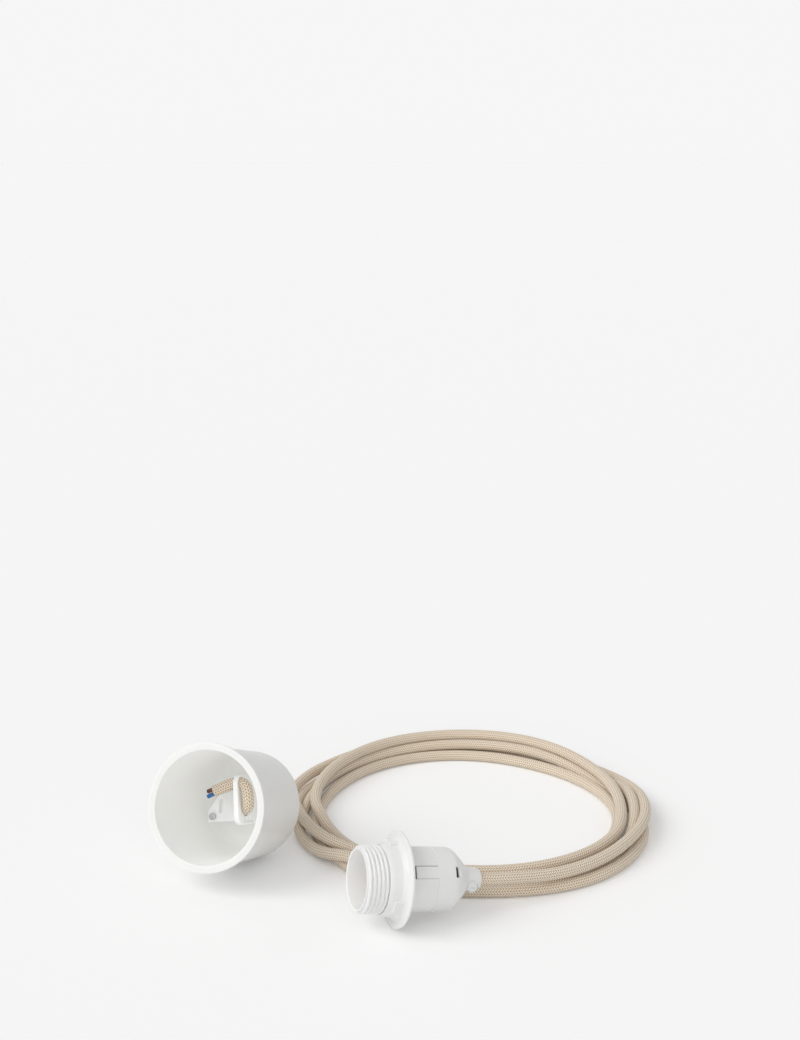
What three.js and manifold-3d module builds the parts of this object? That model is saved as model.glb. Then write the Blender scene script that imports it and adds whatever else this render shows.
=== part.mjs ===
// Pendant cord set: a ceiling cup with its cord hanger, a braided cord in a loose round coil, and a
// screw lamp holder with a shade ring, all lying on a flat surface. Millimetres, +Z up. The origin is
// on that surface, under the middle of the cup and the holder.

import * as THREE from 'three';
import { mergeVertices } from 'three/addons/utils/BufferGeometryUtils.js';
import Module from 'manifold-3d';

const wasm = await Module();
wasm.setup();

// Clearances and facets
const GAP = 0.3; // between two pieces that touch
const CORD_CLEARANCE = 0.4; // between the cord and the edge of a hole it passes
const ROUND = 40; // facets round a large turned piece, a multiple of 4
const SMALL_ROUND = 16; // facets round a screw, a hole or a boss
const HOLE_STEPS = 6; // steps of each curve in a flat outline
const PAST = 1; // how far a cut or a hidden end runs past a face

// Cord
const CORD_D = 7.5;
const CORD_SIDES = 10;
const CORD_STEP = 18; // spacing of the tube's sections where the cord runs free
const BEND_STEP = 4; // and where it winds through the hanger
const CORE_D = 2.7; // one insulated core
const CORE_SIDES = 8;
const BROWN_STUB = [-0.4, 1.7, 4]; // sideways and up from the cord's middle, and length
const BLUE_STUB = [0.6, -1.6, 6];
const CORE_SPACING = 3.3; // between the two cores where they leave the cord

// Ceiling cup, mouth at z = 0 and closed end below
const CUP_RIM_R = 40;
const CUP_RIM_HEIGHT = 2.6;
const CUP_RIM_CHAMFER = 0.8;
const CUP_MOUTH_R = 37.6; // outside of the wall behind the rim
const CUP_END_R = 34.5; // outside of the wall at the start of the fillet
const CUP_DEPTH = 75;
const CUP_FILLET = 13;
const FILLET_STEPS = 7;
const CUP_WALL = 2.2;
const CUP_RIM_FACE = 4.4; // width of the flat rim face
const OUTLET_CLEARANCE = 1.2; // round the cord in the outlet
const COLLAR_WALL = 2.4;
const COLLAR_HEIGHT = 3.8; // of the ring round the outlet, above the cup's floor
const CUP_AT = [-67.06, -1.94];
const CUP_TILT = 70.5; // mouth turned down from straight up
const CUP_TURN = -22;

// Hanger in the cup
const HANGER_TURN = 11; // about the cup's axis
const PLATE_T = 3;
const PLATE_FACE_X = 2.1; // plate's face nearer to the outlet's axis
const PLATE_HEIGHT = 33.7;
const PLATE_LOW_Y = -12.4;
const PLATE_HIGH_Y = 19;
const PLATE_CORNER_R = 6;
const PLATE_HOLE_R = 4.4;
const UPPER_HOLE = [13, 27.4]; // across the plate, and above its foot
const LOWER_HOLE = [-3, 22.7];
const SLOT_LOW = [-11.2, 9.7, 26.7]; // its lower edge: across the plate, then from and to above the foot
const SLOT_HIGH = [-7.9, 12.7, 23.7];
const SHELF_Z = 10.7; // above the plate's foot
const SHELF_T = 2.5;
const SHELF_REACH = 29;
const SHELF_Y = [-10, 8];
const SHELF_FULL_REACH = 19.7; // where its far corner is cut off
const SHELF_NOSE = 7; // width left at its end
const HOOK_SLOT = [9, 2.6];
const HOOK_SLOT_X = -17;
const HANGER_SCREW_R = 1.4;
const HANGER_SCREW_HEAD_R = 2.3;
const HANGER_SCREW_HEAD_H = 1.4;
const HANGER_SCREW_LENGTH = 7;
const HANGER_SCREW_AT = [-23.4, -6.4];

// Lamp holder, flange at z = 0, mouth below and cord grip above
const THREAD_R = 20; // over the crests
const THREAD_DEPTH = 0.9;
const THREAD_PITCH = 3;
const THREAD_TURNS = 8;
const THREAD_ROOT = 0.7; // of each turn, before the ridge rises
const THREAD_CREST = [1.4, 2.3];
const THREAD_RUNOUT = 0.2;
const BARREL_R = 19.1;
const BARREL_WALL = 1.7;
const MOUTH_Z = -25;
const MOUTH_LIP = 1.2; // plain lip before the thread
const MOUTH_BORE_R = 17.6;
const LEDGE_Z = -6;
const LEDGE_H = 2.7;
const LEDGE_R = 16.6;
const LEDGE_SLOPE = 1;
const SEAM_Z = 20.35;
const HOLDER_AT = [51.64, -48.34];
const HOLDER_TILT = 8.8; // grip end down
const HOLDER_TURN = 19.65;

// Latch tongues of the cap in windows of the skirt
const LATCH_ANGLES = [-114, 66]; // lower edge of each window about the axis
const LATCH_SPAN = 23.6;
const WINDOW_Z = 2.9;
const TONGUE_Z = 4;
const TONGUE_ROOT = 1; // of each tongue inside the cap's edge

// Shade ring
const RING_CLEARANCE = 0.35; // over the thread
const RING_WALL = 1.65; // of its collar
const RING_COLLAR_R = THREAD_R + RING_CLEARANCE + RING_WALL;
const RING_COLLAR_Z = -9.8;
const RING_FLARE_R = [0, 1.2, 2.5]; // past the collar's radius, from its straight part to the flange
const RING_FLARE_Z = [-6, -3, -1.6];
const RING_CHAMFER = 0.4;
const FLANGE_R = 28.7;
const FLANGE_T = 1.5;
const FLANGE_FACE_Z = 0.2;
const FLANGE_CHAMFER = [0.4, 0.5];
const LUG_ANGLES = [-187, -67, 53]; // middle of each raised pad
const LUG_WIDTH = 9.4;
const LUG_PROUD = 0.8;
const LUG_ROOT = 0.8;
const LUG_Z = [-8.5, -1.4];

// Cap, neck and cord grip
const CAP_WALL = 1.6;
const DOME = [[BARREL_R, 24], [18.2, 32], [14.6, 36.5], [11.4, 39.7], [8.6, 42], [7.4, 44.2]];
const DOME_INSIDE = [[BARREL_R - CAP_WALL, 24], [16.4, 31], [12.8, 35], [8.6, 38.4]];
const DOME_STEPS = 12;
const DOME_INSIDE_STEPS = 8;
const NECK = [[7.1, 47], [6.9, 48.7], [5.9, 52.1], [5, 52.7]]; // radius and height, to the grip's end
const GRIP_Z = NECK[3][1];
const CORD_END_Z = 38; // where the braid ends inside the cap
const BORE_START = 2.4; // of the neck's bore, above the cord's end
const BOSS_Z = 45.7;
const BOSS_ANGLE = -77;
const BOSS_R = 3.6;
const BOSS_REACH = 9.2;
const BOSS_ROOT = 0.5; // past the neck's bore
const GRIP_SCREW_R = 2;
const GRIP_SCREW_SUNK = 0.2;
const POCKET_ANGLE = -133;
const POCKET_R = 12.5;
const POCKET_Z = [35.2, 38.6];
const POCKET_WIDTH = 6.5;
const POCKET_DEPTH = 1.5;

// Lamp insert and contacts
const INSERT_Z = [-3, 17];
const INSERT_FLOOR_Z = 12;
const SHELL_R = 14;
const SHELL_WALL = 0.4;
const SHELL_Z = -2.5;
const CONTACT_T = 0.6;
const CONTACT_WIDTH = 6;
const CONTACT_REACH = 4;
const CONTACT_FOOT = 1.5; // past the terminal's leg
const CONTACT_BEND_Y = 3;
const CONTACT_TIP_Y = -4;
const TERMINAL_SIZE = [6, 6.5, 7];
const TERMINAL_Y = 8.5;
const TERMINAL_LEG_R = 1.2;
const TERMINAL_SCREW_R = 1.5;
const TERMINAL_SCREW_LENGTH = 5;

// Cores in the cap: sideways from the cord's end or the terminal, and up from the terminal
const CORE_SPREAD = 0.6;
const CORE_STRAIGHT = 4;
const CORE_LEAN = 1.2;
const CORE_RISE = [4.5, 1];
const CORE_STEP = 2.5;
const CORE_DEPTH = 4.5; // of a core's end in its terminal

// Cord routes: points chosen along the centre line, in the frame of the whole set
const TAIL_ROUTE = [
  [-66.1, 40.4, 47.3], [-61.0, 39.9, 49.9], [-55.1, 39.7, 52.5], [-49.8, 38.4, 54.0],
  [-45.9, 35.7, 53.2], [-44.2, 32.9, 49.9], [-43.7, 31.3, 45.1], [-44.0, 32.3, 40.2],
  [-47.3, 35.9, 36.6], [-50.0, 41.0, 34.4], [-49.3, 47.1, 33.2], [-45.1, 55.1, 31.6],
  [-40.5, 63.7, 29.0], [-38.6, 68.1, 27.4],
];
const TAIL_RUN = [
  [-38.6, 68.1, 27.4], [-35.2, 76.0, 24.0], [-31.0, 88.0, 19.6], [-26.0, 112.0, 13.2],
  [-18.2, 148.1, 9.6], [-8.6, 173.0, 9.0],
];
const HOLDER_RUN = [
  [189.8, 23.2, 12.6], [169.3, 4.1, 12.2], [157.0, -5.7, 12.7], [139.5, -14.5, 14.2],
  [122.0, -23.6, 17.6], [109.4, -27.7, 18.9], [102.9, -30.0, 20.0], [87.1, -35.7, 22.6],
];

// Coil: inner edge, outer edge and top of the turns at equal angles round its centre
const COIL_CENTRE = [103.3, 109.7];
const COIL_EDGES = [
  [96.7, 122.8, 15.6], [95.2, 125.6, 15.0], [96.5, 125.8, 19.3], [103.2, 128.5, 20.4],
  [107.8, 132.0, 20.3], [102.2, 131.0, 19.2], [102.7, 127.0, 14.8], [98.7, 128.1, 15.1],
  [99.2, 129.8, 14.8], [104.2, 127.8, 15.0], [102.2, 131.6, 15.0], [98.2, 126.3, 16.4],
];
const COIL_FACETS = 48;
const COIL_CHAMFER = 3;

const material = (color, roughness, metalness = 0) =>
  new THREE.MeshStandardMaterial({ color, roughness, metalness });
const WHITE_PLASTIC = () => material(0xf2f2f0, 0.38);
const SATIN_WHITE = () => material(0xefefed, 0.5);
const NYLON = () => material(0xf0f1f0, 0.45);
const BRAID = () => material(0xd8c3a2, 0.9);
const BRASS = () => material(0xc9a552, 0.35, 1);
const STEEL = () => material(0xb9bbbd, 0.35, 1);
const CORE_BROWN = () => material(0x6a3f2c, 0.5);
const CORE_BLUE = () => material(0x2f78bd, 0.5);

// A closed geometry with merged vertices and outward faces
function closed(geometry) {
  const bare = geometry.index ? geometry.toNonIndexed() : geometry.clone();
  bare.deleteAttribute('normal');
  bare.deleteAttribute('uv');
  const merged = mergeVertices(bare, 1e-4);
  const position = merged.attributes.position;
  const corner = (i) => new THREE.Vector3().fromBufferAttribute(position, i);
  const triangles = [];
  let volume = 0;
  for (let i = 0; i < merged.index.count; i += 3) {
    const [a, b, c] = [0, 1, 2].map((k) => merged.index.getX(i + k));
    if (a === b || b === c || c === a) continue;
    triangles.push([a, b, c]);
    volume += corner(a).dot(corner(b).cross(corner(c)));
  }
  const outward = volume < 0 ? triangles.map(([a, b, c]) => [a, c, b]) : triangles;
  merged.setIndex(outward.flat());
  return merged;
}

function solid(geometry) {
  const { attributes, index } = closed(geometry);
  return new wasm.Manifold(new wasm.Mesh({
    numProp: 3,
    vertProperties: new Float32Array(attributes.position.array),
    triVerts: new Uint32Array(index.array),
  }));
}

function geometryOf(manifold) {
  const mesh = manifold.getMesh();
  const geometry = new THREE.BufferGeometry();
  geometry.setAttribute('position', new THREE.BufferAttribute(mesh.vertProperties, 3));
  geometry.setIndex(new THREE.BufferAttribute(mesh.triVerts, 1));
  return geometry;
}

function cut(geometry, ...tools) {
  return geometryOf(tools.reduce((body, tool) => body.subtract(solid(tool)), solid(geometry)));
}

function join(geometry, ...others) {
  return geometryOf(others.reduce((body, other) => body.add(solid(other)), solid(geometry)));
}

function common(geometry, other) {
  return geometryOf(solid(geometry).intersect(solid(other)));
}

function piece(name, geometry, finish) {
  const mesh = new THREE.Mesh(closed(geometry), finish);
  mesh.name = name;
  return mesh;
}

// A piece turned about +Z from [radius, height] points that close on themselves
function revolve(profile, facets = ROUND) {
  const points = [...profile, profile[0]].map(([r, z]) => new THREE.Vector2(r, z));
  return new THREE.LatheGeometry(points, facets).rotateX(Math.PI / 2);
}

function arc(centreR, centreZ, radius, fromDeg, toDeg, steps) {
  return Array.from({ length: steps + 1 }, (_, k) => {
    const angle = THREE.MathUtils.degToRad(fromDeg + ((toDeg - fromDeg) * k) / steps);
    return [centreR + radius * Math.cos(angle), centreZ + radius * Math.sin(angle)];
  });
}

// A cylinder along +Z from zLow to zHigh
function rod(radius, zLow, zHigh, facets = SMALL_ROUND) {
  return new THREE.CylinderGeometry(radius, radius, zHigh - zLow, facets)
    .rotateX(Math.PI / 2).translate(0, 0, (zLow + zHigh) / 2);
}

// A cylinder that stands out from the axis at an angle and a height
function spoke(radius, rLow, rHigh, angleDeg, z, facets = SMALL_ROUND) {
  return rod(radius, rLow, rHigh, facets).rotateY(Math.PI / 2)
    .rotateZ(THREE.MathUtils.degToRad(angleDeg)).translate(0, 0, z);
}

// A block that stands out from the axis at an angle
function lump(rLow, rHigh, width, [zLow, zHigh], angleDeg) {
  return new THREE.BoxGeometry(rHigh - rLow, width, zHigh - zLow)
    .translate((rLow + rHigh) / 2, 0, (zLow + zHigh) / 2)
    .rotateZ(THREE.MathUtils.degToRad(angleDeg));
}

// A pie-shaped prism about the axis, from one angle to another
function wedge(fromDeg, toDeg, radius, zLow, zHigh) {
  const shape = new THREE.Shape();
  shape.moveTo(0, 0);
  for (const angle of [fromDeg, (fromDeg + toDeg) / 2, toDeg].map(THREE.MathUtils.degToRad)) {
    shape.lineTo(radius * Math.cos(angle), radius * Math.sin(angle));
  }
  return new THREE.ExtrudeGeometry(shape, { depth: zHigh - zLow, bevelEnabled: false })
    .translate(0, 0, zLow);
}

// A plate of a shape drawn across (y) and up (z), its thickness along +X
function upright(shape, thickness) {
  const stand = new THREE.Matrix4().makeBasis(
    new THREE.Vector3(0, 1, 0), new THREE.Vector3(0, 0, 1), new THREE.Vector3(1, 0, 0),
  );
  const options = { depth: thickness, bevelEnabled: false, curveSegments: HOLE_STEPS };
  return new THREE.ExtrudeGeometry(shape, options).applyMatrix4(stand);
}

function curve(points) {
  return new THREE.CatmullRomCurve3(points.map((p) => new THREE.Vector3(...p)), false, 'centripetal');
}

// A round tube along a curve
function tube(path, diameter, sides, step) {
  const section = new THREE.Shape();
  for (let k = 0; k < sides; k += 1) {
    const angle = (2 * Math.PI * k) / sides;
    const [x, y] = [(diameter / 2) * Math.cos(angle), (diameter / 2) * Math.sin(angle)];
    if (k === 0) section.moveTo(x, y);
    else section.lineTo(x, y);
  }
  const steps = Math.max(1, Math.round(path.getLength() / step));
  return new THREE.ExtrudeGeometry(section, { steps, extrudePath: path, bevelEnabled: false });
}

// A geometry of the whole set's frame, seen from inside a placed group
function inside(group, geometry) {
  group.updateMatrixWorld(true);
  return geometry.clone().applyMatrix4(group.matrixWorld.clone().invert());
}

// Sets a group down so that its lowest point touches the surface
function setDown(group) {
  group.updateMatrixWorld(true);
  group.position.z -= new THREE.Box3().setFromObject(group, true).min.z;
  group.updateMatrixWorld(true);
}

function cupShell() {
  const filletZ = -(CUP_DEPTH - CUP_FILLET);
  const outletR = CORD_D / 2 + OUTLET_CLEARANCE;
  const floorZ = -CUP_DEPTH + CUP_WALL;
  const collarR = outletR + COLLAR_WALL;
  const wallBack = -CUP_RIM_HEIGHT - CUP_RIM_CHAMFER;
  return revolve([
    [CUP_RIM_R, 0], [CUP_RIM_R, -CUP_RIM_HEIGHT], [CUP_MOUTH_R, wallBack],
    ...arc(CUP_END_R - CUP_FILLET, filletZ, CUP_FILLET, 0, -90, FILLET_STEPS),
    [outletR, -CUP_DEPTH], [outletR, floorZ + COLLAR_HEIGHT], [collarR, floorZ + COLLAR_HEIGHT],
    [collarR, floorZ],
    ...arc(CUP_END_R - CUP_FILLET, filletZ, CUP_FILLET - CUP_WALL, -90, 0, FILLET_STEPS),
    [CUP_MOUTH_R - CUP_WALL, wallBack + CUP_RIM_CHAMFER], [CUP_RIM_R - CUP_RIM_FACE, 0],
  ]);
}

// Hanger's upright plate, drawn across its face (y) and up from its foot (z)
function hangerUpright() {
  const [low, high, top, r] = [PLATE_LOW_Y, PLATE_HIGH_Y, PLATE_HEIGHT, PLATE_CORNER_R];
  const outline = new THREE.Shape();
  outline.moveTo(low, 0);
  outline.lineTo(high, 0);
  outline.lineTo(high, top - r);
  outline.absarc(high - r, top - r, r, 0, Math.PI / 2, false);
  outline.lineTo(low + r, top);
  outline.absarc(low + r, top - r, r, Math.PI / 2, Math.PI, false);
  for (const [y, z] of [UPPER_HOLE, LOWER_HOLE]) {
    outline.holes.push(new THREE.Path().absarc(y, z, PLATE_HOLE_R, 0, 2 * Math.PI, true));
  }
  const slot = new THREE.Path();
  slot.moveTo(SLOT_LOW[0], SLOT_LOW[1]);
  slot.lineTo(SLOT_LOW[0], SLOT_LOW[2]);
  slot.lineTo(SLOT_HIGH[0], SLOT_HIGH[2]);
  slot.lineTo(SLOT_HIGH[0], SLOT_HIGH[1]);
  slot.closePath();
  outline.holes.push(slot);
  return upright(outline, PLATE_T).translate(PLATE_FACE_X, 0, 0);
}

// Hanger's shelf, which the cord passes and the small screw holds
function hangerShelf() {
  const [low, high] = SHELF_Y;
  const outline = new THREE.Shape();
  outline.moveTo(PLATE_FACE_X + PLATE_T / 2, low);
  outline.lineTo(PLATE_FACE_X + PLATE_T / 2, high);
  outline.lineTo(PLATE_FACE_X - SHELF_FULL_REACH, high);
  outline.lineTo(PLATE_FACE_X - SHELF_REACH, low + SHELF_NOSE);
  outline.lineTo(PLATE_FACE_X - SHELF_REACH, low);
  const hookSlot = new THREE.Path();
  const [length, width] = HOOK_SLOT;
  hookSlot.moveTo(HOOK_SLOT_X - width, -length / 2);
  hookSlot.lineTo(HOOK_SLOT_X - width / 2, length / 2);
  hookSlot.lineTo(HOOK_SLOT_X + width / 2, length / 2);
  hookSlot.lineTo(HOOK_SLOT_X, -length / 2);
  hookSlot.closePath();
  outline.holes.push(hookSlot);
  const screwHole = new THREE.Path();
  screwHole.absarc(...HANGER_SCREW_AT, HANGER_SCREW_R + GAP, 0, 2 * Math.PI, true);
  outline.holes.push(screwHole);
  const options = { depth: SHELF_T, bevelEnabled: false, curveSegments: HOLE_STEPS };
  return new THREE.ExtrudeGeometry(outline, options).translate(0, 0, SHELF_Z);
}

function makeHanger(cup, tailPath) {
  const hanger = new THREE.Group();
  hanger.position.z = -CUP_DEPTH + CUP_WALL + COLLAR_HEIGHT + GAP;
  hanger.rotation.z = THREE.MathUtils.degToRad(HANGER_TURN);
  cup.add(hanger);
  const passage = tube(tailPath, CORD_D + 2 * CORD_CLEARANCE, SMALL_ROUND, BEND_STEP);
  const moulding = cut(join(hangerUpright(), hangerShelf()), inside(hanger, passage));
  hanger.add(piece('hanger_plate', moulding, NYLON()));

  const shelfTop = SHELF_Z + SHELF_T;
  const headBase = shelfTop + GAP;
  const screw = join(
    rod(HANGER_SCREW_R, headBase - HANGER_SCREW_LENGTH, headBase + HANGER_SCREW_HEAD_H / 2),
    rod(HANGER_SCREW_HEAD_R, headBase, headBase + HANGER_SCREW_HEAD_H),
  ).translate(...HANGER_SCREW_AT, 0);
  hanger.add(piece('hanger_screw', screw, STEEL()));
}

// Skirt: barrel with the outer thread, lamp mouth, ledge and seat of the insert, and latch windows
function skirt() {
  const root = THREAD_R - THREAD_DEPTH;
  const thread = [];
  for (let turn = 0; turn < THREAD_TURNS; turn += 1) {
    const z = MOUTH_Z + MOUTH_LIP + turn * THREAD_PITCH;
    thread.push([root, z + THREAD_ROOT], ...THREAD_CREST.map((rise) => [THREAD_R, z + rise]));
  }
  const threadEnd = MOUTH_Z + MOUTH_LIP + THREAD_TURNS * THREAD_PITCH;
  const seatR = BARREL_R - BARREL_WALL;
  const body = revolve([
    [MOUTH_BORE_R, MOUTH_Z], [root, MOUTH_Z], ...thread, [root, threadEnd],
    [BARREL_R, threadEnd + THREAD_RUNOUT], [BARREL_R, SEAM_Z], [seatR, SEAM_Z],
    [seatR, LEDGE_Z + LEDGE_H], [LEDGE_R, LEDGE_Z + LEDGE_H], [LEDGE_R, LEDGE_Z],
    [MOUTH_BORE_R, LEDGE_Z - LEDGE_SLOPE],
  ]);
  const windows = LATCH_ANGLES.map((angle) =>
    wedge(angle - LATCH_SPAN, angle, BARREL_R + PAST, WINDOW_Z, SEAM_Z + PAST));
  return cut(body, ...windows);
}

function cap() {
  const lowZ = SEAM_Z + GAP;
  const boreR = CORD_D / 2 + CORD_CLEARANCE;
  const spline = (points, steps) => new THREE.SplineCurve(points.map((p) => new THREE.Vector2(...p)))
    .getPoints(steps).map((p) => [p.x, p.y]);
  const innerR = BARREL_R - CAP_WALL;
  let body = revolve([
    [innerR, lowZ], [BARREL_R, lowZ], ...spline(DOME, DOME_STEPS), ...NECK,
    [boreR, GRIP_Z], [boreR, CORD_END_Z + BORE_START], ...spline(DOME_INSIDE, DOME_INSIDE_STEPS).reverse(),
  ]);
  const rootZ = lowZ + TONGUE_ROOT;
  const sideGap = THREE.MathUtils.radToDeg(GAP / BARREL_R);
  const tongueRing = revolve([
    [innerR + GAP, TONGUE_Z], [BARREL_R, TONGUE_Z], [BARREL_R, rootZ], [innerR + GAP, rootZ],
  ]);
  for (const angle of LATCH_ANGLES) {
    const slice = wedge(angle - LATCH_SPAN + sideGap, angle - sideGap, BARREL_R + PAST, TONGUE_Z, rootZ);
    body = join(body, common(tongueRing, slice));
  }
  body = join(body, spoke(BOSS_R, boreR + BOSS_ROOT, BOSS_REACH, BOSS_ANGLE, BOSS_Z, 2 * SMALL_ROUND));
  return cut(
    body,
    spoke(GRIP_SCREW_R + GAP, 0, BOSS_REACH + PAST, BOSS_ANGLE, BOSS_Z),
    lump(POCKET_R - POCKET_DEPTH, POCKET_R + PAST, POCKET_WIDTH, POCKET_Z, POCKET_ANGLE),
  );
}

function shadeRing() {
  const boreR = THREAD_R + RING_CLEARANCE;
  const ring = revolve([
    [boreR, RING_COLLAR_Z], [RING_COLLAR_R - RING_CHAMFER, RING_COLLAR_Z],
    [RING_COLLAR_R, RING_COLLAR_Z + RING_CHAMFER],
    ...RING_FLARE_R.map((out, k) => [RING_COLLAR_R + out, RING_FLARE_Z[k]]),
    [FLANGE_R - FLANGE_CHAMFER[0], FLANGE_FACE_Z - FLANGE_T],
    [FLANGE_R, FLANGE_FACE_Z - FLANGE_T + FLANGE_CHAMFER[1]],
    [FLANGE_R, FLANGE_FACE_Z], [boreR, FLANGE_FACE_Z],
  ]);
  const lugs = LUG_ANGLES.map((angle) =>
    lump(RING_COLLAR_R - LUG_ROOT, RING_COLLAR_R + LUG_PROUD, LUG_WIDTH, LUG_Z, angle));
  return join(ring, ...lugs);
}

function lampInsert() {
  const outerR = BARREL_R - BARREL_WALL - GAP;
  const [low, high] = INSERT_Z;
  const body = revolve([
    [SHELL_R + GAP, low], [outerR, low], [outerR, high], [0, high], [0, INSERT_FLOOR_Z],
    [SHELL_R + GAP, INSERT_FLOOR_Z],
  ]);
  const legHoles = [-1, 1].map((side) =>
    rod(TERMINAL_LEG_R + GAP, INSERT_FLOOR_Z - PAST, high + PAST).translate(0, side * TERMINAL_Y, 0));
  return cut(body, ...legHoles);
}

function screwShell() {
  const innerR = SHELL_R - SHELL_WALL;
  const top = INSERT_FLOOR_Z - GAP;
  return revolve([[innerR, SHELL_Z], [SHELL_R, SHELL_Z], [SHELL_R, top], [innerR, top]]);
}

// Centre contact: a leaf of strip, flat on the insert's floor at one end and sprung to the mouth
function centreContact() {
  const top = INSERT_FLOOR_Z - GAP;
  const leaf = new THREE.Shape();
  const low = top - CONTACT_REACH;
  const along = [[TERMINAL_Y + CONTACT_FOOT, top], [CONTACT_BEND_Y, top], [0, low], [CONTACT_TIP_Y, low]];
  leaf.moveTo(...along[0]);
  along.slice(1).forEach((p) => leaf.lineTo(...p));
  [...along].reverse().forEach(([y, z]) => leaf.lineTo(y, z - CONTACT_T));
  return upright(leaf, CONTACT_WIDTH).translate(-CONTACT_WIDTH / 2, 0, 0);
}

// Terminal block with a leg through the insert, a hole for the core and one for the screw
function terminal(side) {
  const [wide, deep, tall] = TERMINAL_SIZE;
  const low = INSERT_Z[1] + GAP;
  const block = new THREE.BoxGeometry(wide, deep, tall).translate(0, side * TERMINAL_Y, low + tall / 2);
  const leg = rod(TERMINAL_LEG_R, INSERT_FLOOR_Z + GAP, low + PAST).translate(0, side * TERMINAL_Y, 0);
  const coreHole = rod(CORE_D / 2 + GAP, low + tall - CORE_DEPTH - GAP, low + tall + PAST)
    .translate(0, side * TERMINAL_Y, 0);
  const screwHole = terminalScrew(side, GAP);
  return cut(join(block, leg), coreHole, screwHole);
}

function terminalScrew(side, allowance = 0) {
  const tip = CORE_D / 2 + GAP - allowance;
  const height = INSERT_Z[1] + GAP + TERMINAL_SIZE[2] - CORE_DEPTH / 2;
  return rod(TERMINAL_SCREW_R + allowance, tip, tip + TERMINAL_SCREW_LENGTH + 2 * allowance)
    .rotateY(Math.PI / 2).translate(0, side * TERMINAL_Y, height);
}

// Core from the cord's end in the cap down into its terminal
function holderCore(side) {
  const terminalTop = INSERT_Z[1] + GAP + TERMINAL_SIZE[2];
  const path = curve([
    [0, (side * CORE_SPACING) / 2, CORD_END_Z - GAP],
    [0, side * (CORE_SPACING / 2 + CORE_SPREAD), CORD_END_Z - CORE_STRAIGHT],
    [0, side * (TERMINAL_Y - CORE_LEAN), terminalTop + CORE_RISE[0]],
    [0, side * TERMINAL_Y, terminalTop + CORE_RISE[1]],
    [0, side * TERMINAL_Y, terminalTop - CORE_DEPTH],
  ]);
  return tube(path, CORE_D, CORE_SIDES, CORE_STEP);
}

// Core stub that shows at the cord's cut end in the cup
function cupCore(tailPath, sideways, up, length) {
  const back = tailPath.getTangent(0).negate();
  const right = new THREE.Vector3().crossVectors(back, new THREE.Vector3(0, 0, 1)).normalize();
  const over = new THREE.Vector3().crossVectors(right, back);
  const start = tailPath.getPoint(0).addScaledVector(back, GAP)
    .addScaledVector(right, sideways).addScaledVector(over, up);
  const end = start.clone().addScaledVector(back, length);
  return tube(new THREE.LineCurve3(start, end), CORE_D, CORE_SIDES, length);
}

// Coil: a ring whose section follows the edges of the turns, with beds for the two loose ends
function coil(beds) {
  const closedSpline = new THREE.CatmullRomCurve3(
    COIL_EDGES.map(([inner, outer, top]) => new THREE.Vector3(inner, outer, top)), true, 'catmullrom', 0.5,
  );
  const unit = [[0, 0], [1, 0], [1, 1], [0, 1]];
  const c = COIL_CHAMFER;
  const corners = unit.flatMap(([u, v]) => {
    const [du, dv] = [u ? -c : c, v ? -c : c];
    const pair = [{ u, v, du, dv: 0 }, { u, v, du: 0, dv }];
    return u === v ? pair.reverse() : pair;
  });
  const section = corners.map((_, k) => new THREE.Vector2(1 + 0.1 * Math.cos(k), 0.1 * Math.sin(k)));
  const ring = new THREE.LatheGeometry([...section, section[0]], COIL_FACETS);
  const position = ring.attributes.position;
  const perTurn = corners.length + 1;
  for (let i = 0; i < position.count; i += 1) {
    const share = (Math.floor(i / perTurn) % COIL_FACETS) / COIL_FACETS;
    const { x: inner, y: outer, z: top } = closedSpline.getPoint(share);
    const { u, v, du, dv } = corners[(i % perTurn) % corners.length];
    const radius = (u ? outer : inner) + du;
    const angle = 2 * Math.PI * share;
    position.setXYZ(
      i, COIL_CENTRE[0] + radius * Math.cos(angle), COIL_CENTRE[1] + radius * Math.sin(angle),
      (v ? top : 0) + dv,
    );
  }
  return cut(ring, ...beds);
}

// The cord's bed in the coil, which runs a little past the cord's two ends
function bed(path) {
  const width = CORD_D + 2 * GAP;
  const past = [0, 1].map((t) => {
    const [end, along] = [path.getPoint(t), path.getTangent(t)];
    const from = end.clone().addScaledVector(along, -GAP);
    return tube(new THREE.LineCurve3(from, end.addScaledVector(along, GAP)), width, SMALL_ROUND, GAP);
  });
  return join(tube(path, width, SMALL_ROUND, CORD_STEP), ...past);
}

const group = new THREE.Group();
group.name = 'pendant_cord_set';

const tailInside = curve(TAIL_ROUTE);
const tailRun = curve(TAIL_RUN);
const holderRun = curve(HOLDER_RUN);

const cup = new THREE.Group();
cup.rotation.set(THREE.MathUtils.degToRad(CUP_TILT), 0, THREE.MathUtils.degToRad(CUP_TURN), 'ZYX');
cup.position.set(...CUP_AT, 0);
cup.add(piece('ceiling_cup', cupShell(), SATIN_WHITE()));
setDown(cup);
makeHanger(cup, tailInside);
group.add(cup);

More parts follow.
